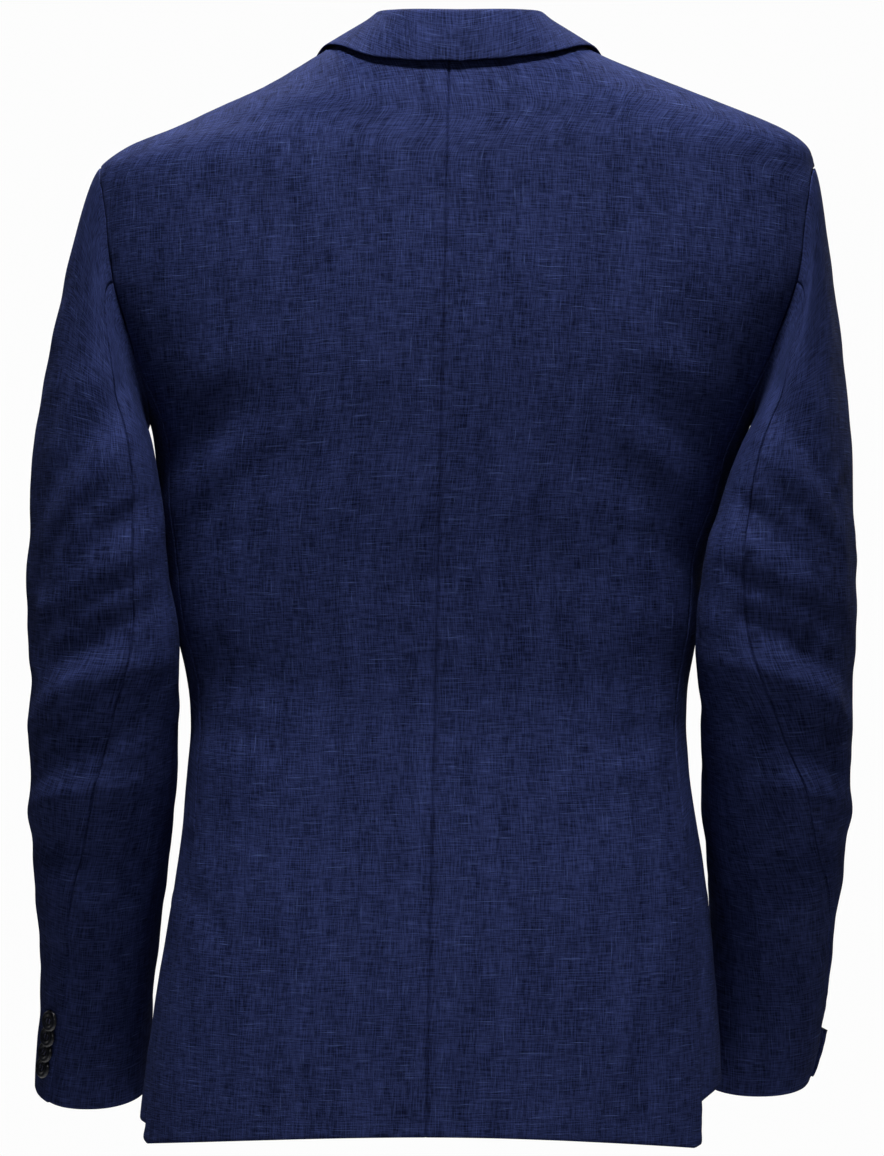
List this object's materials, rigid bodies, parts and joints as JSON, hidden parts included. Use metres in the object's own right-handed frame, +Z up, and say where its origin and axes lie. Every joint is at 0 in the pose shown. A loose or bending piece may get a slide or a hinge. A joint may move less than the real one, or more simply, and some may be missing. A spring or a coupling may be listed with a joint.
{
  "type": "blazer",
  "caption": "Single breasted blazer in slubby linen cloth with notch lapels, flap pockets, buttoned cuffs and side vents, filled out as if worn.",
  "frame": {"origin": "the middle of the neck at the height of the shoulder line, where the wearer's shoulders hold the blazer", "axes": "+X to the wearer's left, -Y to the front, +Z up"},
  "size_m": [0.5664, 0.2543, 0.7627],
  "materials": {
    "linen": "matte slubby linen weave, navy",
    "button": "dark satin buttons"
  },
  "bodies": {
    "root": {"back_left": "linen", "side_left": "linen", "front_left": "linen", "lapel_left": "linen", "pocket_flap_left": "linen", "sleeve_top_left": "linen", "sleeve_under_left": "linen", "cuff_button_left_1": "button", "cuff_button_left_2": "button", "cuff_button_left_3": "button", "cuff_button_left_4": "button", "back_right": "linen", "side_right": "linen", "front_right": "linen", "lapel_right": "linen", "pocket_flap_right": "linen", "sleeve_top_right": "linen", "sleeve_under_right": "linen", "cuff_button_right_1": "button", "cuff_button_right_2": "button", "cuff_button_right_3": "button", "cuff_button_right_4": "button", "collar": "linen", "front_button_1": "button", "front_button_2": "button"}
  },
  "joints": []
}
